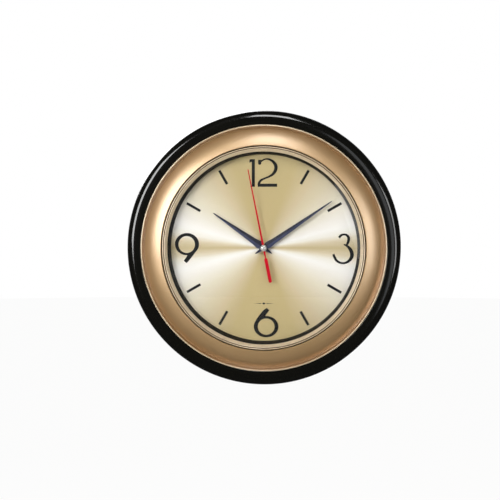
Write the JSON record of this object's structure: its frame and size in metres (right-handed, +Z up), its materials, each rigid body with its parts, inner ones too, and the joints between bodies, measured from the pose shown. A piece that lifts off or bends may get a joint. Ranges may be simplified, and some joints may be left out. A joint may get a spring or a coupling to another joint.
{
  "type": "wall clock",
  "caption": "Round battery wall clock: black case, champagne-gold ring, flat glass, sunray dial with three hands, quartz movement with its gear train and a keyhole hanger.",
  "frame": {"origin": "on the hands' axis, in the plane of the wall that the case rim rests on", "axes": "+Z up, -Y out of the dial towards the viewer, +X to the viewer's right"},
  "size_m": [0.3, 0.0439, 0.3],
  "materials": {
    "black_gloss": "piano-black moulded ABS",
    "champagne_plating": "satin champagne-gold plating on ABS",
    "bright_gold_plating": "polished champagne-gold plating on ABS",
    "clear_glass": "clear flat mineral glass",
    "matt_black": "satin black moulded plastic",
    "sunray_dial": "sunray-brushed champagne dial sheet",
    "dial_print": "black dial print",
    "zinc_screw": "bright zinc plate",
    "hanger_steel": "zinc-plated pressed steel",
    "navy_hand": "dark navy satin lacquer",
    "red_hand": "red satin lacquer",
    "silver_cap": "satin silver plating",
    "movement_black": "spark-textured black ABS",
    "knob_black": "black acetal",
    "gear_acetal": "natural acetal",
    "gear_brass": "turned brass",
    "arbor_steel": "polished steel pin",
    "magnet": "sintered magnet",
    "silicon_steel": "bare lamination steel",
    "copper_wire": "enamelled copper wire",
    "bobbin_nylon": "natural nylon",
    "board_green": "solder-masked board",
    "chip_resin": "black resin drop",
    "crystal_can": "drawn metal can",
    "contact_nickel": "nickel-plated spring strip",
    "battery_metal": "plated cell can",
    "battery_wrap": "printed shrink sleeve"
  },
  "bodies": {
    "clock_body": {"outer_frame": "black_gloss", "gold_ring": "champagne_plating", "glass_retaining_ring": "bright_gold_plating", "glass": "clear_glass", "dial_spacer_ring": "matt_black", "dial": "sunray_dial", "dial_numerals": "dial_print", "dial_hour_bars": "dial_print", "dial_ornament": "dial_print", "dial_tray": "matt_black", "tray_ribs": "matt_black", "case_screws": "zinc_screw", "hanger_plate": "hanger_steel", "hanger_posts": "matt_black", "hanger_screws": "zinc_screw", "movement_case": "movement_black", "movement_cover": "movement_black", "stator": "silicon_steel", "coil_core": "silicon_steel", "coil_bobbin": "bobbin_nylon", "coil_winding": "copper_wire", "circuit_board": "board_green", "chip_cover": "chip_resin", "quartz_crystal": "crystal_can", "battery_contact_plus": "contact_nickel", "battery_contact_minus": "contact_nickel", "battery_spring": "contact_nickel"},
    "second_train": {"second_hand": "red_hand", "centre_cap": "silver_cap", "second_arbor": "arbor_steel", "second_wheel": "gear_acetal"},
    "minute_train": {"minute_hand": "navy_hand", "minute_pipe": "gear_brass", "centre_wheel": "gear_brass"},
    "hour_train": {"hour_hand": "navy_hand", "hour_wheel": "gear_acetal"},
    "minute_works": {"minute_works_wheel": "gear_acetal", "setting_knob": "knob_black"},
    "third": {"third_wheel": "gear_acetal"},
    "intermediate": {"intermediate_wheel": "gear_acetal"},
    "rotor": {"rotor_magnet": "magnet", "rotor_pinion": "gear_acetal"},
    "battery": {"battery_can": "battery_metal", "battery_sleeve": "battery_wrap", "battery_plus_cap": "battery_metal"}
  },
  "joints": [
    {"name": "second_spin", "type": "hinge", "parent": "clock_body", "child": "second_train", "pos_m": [0, -0.01, 0], "axis": [0, 1, 0], "continuous": true},
    {"name": "minute_spin", "type": "hinge", "parent": "clock_body", "child": "minute_train", "pos_m": [0, -0.01, 0], "axis": [0, 1, 0], "continuous": true},
    {"name": "hour_spin", "type": "hinge", "parent": "clock_body", "child": "hour_train", "pos_m": [0, -0.01, 0], "axis": [0, 1, 0], "continuous": true},
    {"name": "minute_works_spin", "type": "hinge", "parent": "clock_body", "child": "minute_works", "pos_m": [0.01182, -0.01, 0.00208], "axis": [0, 1, 0], "continuous": true},
    {"name": "third_wheel_spin", "type": "hinge", "parent": "clock_body", "child": "third", "pos_m": [-0.0115, -0.01, 0.00419], "axis": [0, 1, 0], "continuous": true},
    {"name": "intermediate_wheel_spin", "type": "hinge", "parent": "clock_body", "child": "intermediate", "pos_m": [0.00311, -0.01, 0.01159], "axis": [0, 1, 0], "continuous": true},
    {"name": "rotor_spin", "type": "hinge", "parent": "clock_body", "child": "rotor", "pos_m": [0.011, -0.01, 0.01446], "axis": [0, 1, 0], "continuous": true},
    {"name": "battery_slide", "type": "slide", "parent": "clock_body", "child": "battery", "axis": [0, 1, 0], "range_m": [0, 0.02]}
  ],
  "couplings": [
    {"joint": "minute_spin", "follows": "second_spin", "ratio": 0.016667},
    {"joint": "hour_spin", "follows": "second_spin", "ratio": 0.0013889},
    {"joint": "minute_works_spin", "follows": "second_spin", "ratio": -0.0055556},
    {"joint": "third_wheel_spin", "follows": "second_spin", "ratio": -0.13333},
    {"joint": "intermediate_wheel_spin", "follows": "second_spin", "ratio": -5},
    {"joint": "rotor_spin", "follows": "second_spin", "ratio": 30}
  ]
}
